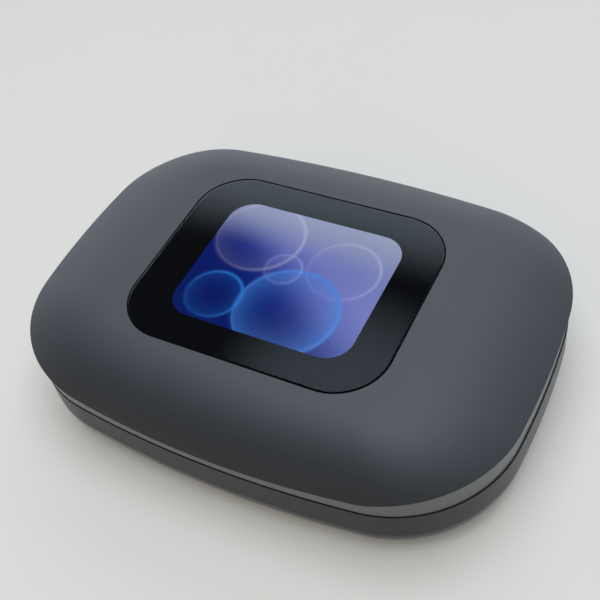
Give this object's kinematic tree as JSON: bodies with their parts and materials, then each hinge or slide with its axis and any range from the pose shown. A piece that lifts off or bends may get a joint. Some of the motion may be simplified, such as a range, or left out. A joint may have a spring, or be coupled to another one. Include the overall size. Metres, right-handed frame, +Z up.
{
  "type": "touch-screen headphone charging case",
  "caption": "Hinged pebble-shaped charging case for open-ear headphones, with a touch screen in the lid and two contoured wells under it.",
  "frame": {"origin": "middle of the underside, on the surface the case stands on", "axes": "+Z up, +X along the case's length to the right seen from the front, +Y towards the hinge at the rear"},
  "size_m": [0.095, 0.0698, 0.0247],
  "materials": {
    "soft_touch": "soft-touch matte",
    "cover_glass": "polished",
    "display": "lit panel",
    "gasket": "matte black",
    "flex": "polyimide film",
    "steel": "stamped",
    "hinge_steel": "dark satin",
    "screw_steel": "turned",
    "circuit_board": "solder resist",
    "inner_plastic": "fine spark texture",
    "rubber": "matte silicone",
    "magnet": "nickel plated",
    "battery_wrap": "pouch film",
    "contact_gold": "gold plated"
  },
  "bodies": {
    "base": {"base_hinge_leaf": "hinge_steel", "base_leaf_screws": "screw_steel", "hinge_pin": "hinge_steel", "base_shell": "soft_touch", "foot_pad": "rubber", "tray": "inner_plastic", "tray_screws": "screw_steel", "tray_plugs": "rubber", "base_magnets": "magnet", "well_magnets": "magnet", "pin_block_left": "gasket", "pin_block_right": "gasket", "tact_switch": "screw_steel", "main_board": "circuit_board", "board_screws": "screw_steel", "usb_shell": "steel", "usb_tongue": "gasket", "battery": "battery_wrap"},
    "lid": {"lid_shell": "soft_touch", "cover_glass": "cover_glass", "glass_gasket": "gasket", "display_panel": "display", "display_flex": "flex", "display_bracket": "steel", "display_screws": "screw_steel", "lid_board": "circuit_board", "lid_liner": "inner_plastic", "liner_screws": "screw_steel", "lid_bumpers": "rubber", "lid_magnets": "magnet", "lid_hinge_leaf": "hinge_steel", "lid_leaf_screws": "screw_steel"},
    "pairing_button": {"pairing_button": "inner_plastic"},
    "pin_left_front": {"contact_pin_left_front": "contact_gold"},
    "pin_left_rear": {"contact_pin_left_rear": "contact_gold"},
    "pin_right_front": {"contact_pin_right_front": "contact_gold"},
    "pin_right_rear": {"contact_pin_right_rear": "contact_gold"}
  },
  "joints": [
    {"name": "lid_hinge", "type": "hinge", "parent": "base", "child": "lid", "pos_m": [0, 0.0333, 0.01265], "axis": [-1, 0, 0], "range_deg": [0, 95]},
    {"name": "button_press", "type": "slide", "parent": "base", "child": "pairing_button", "axis": [0, 0, -1], "range_m": [0, 0.0004], "stiffness_N_per_m": 4000, "springref_m": -0.0002},
    {"name": "pin_left_front_travel", "type": "slide", "parent": "base", "child": "pin_left_front", "axis": [0, 0, -1], "range_m": [0, 0.0007], "stiffness_N_per_m": 800, "springref_m": -0.0003},
    {"name": "pin_left_rear_travel", "type": "slide", "parent": "base", "child": "pin_left_rear", "axis": [0, 0, -1], "range_m": [0, 0.0007], "stiffness_N_per_m": 800, "springref_m": -0.0003},
    {"name": "pin_right_front_travel", "type": "slide", "parent": "base", "child": "pin_right_front", "axis": [0, 0, -1], "range_m": [0, 0.0007], "stiffness_N_per_m": 800, "springref_m": -0.0003},
    {"name": "pin_right_rear_travel", "type": "slide", "parent": "base", "child": "pin_right_rear", "axis": [0, 0, -1], "range_m": [0, 0.0007], "stiffness_N_per_m": 800, "springref_m": -0.0003}
  ]
}
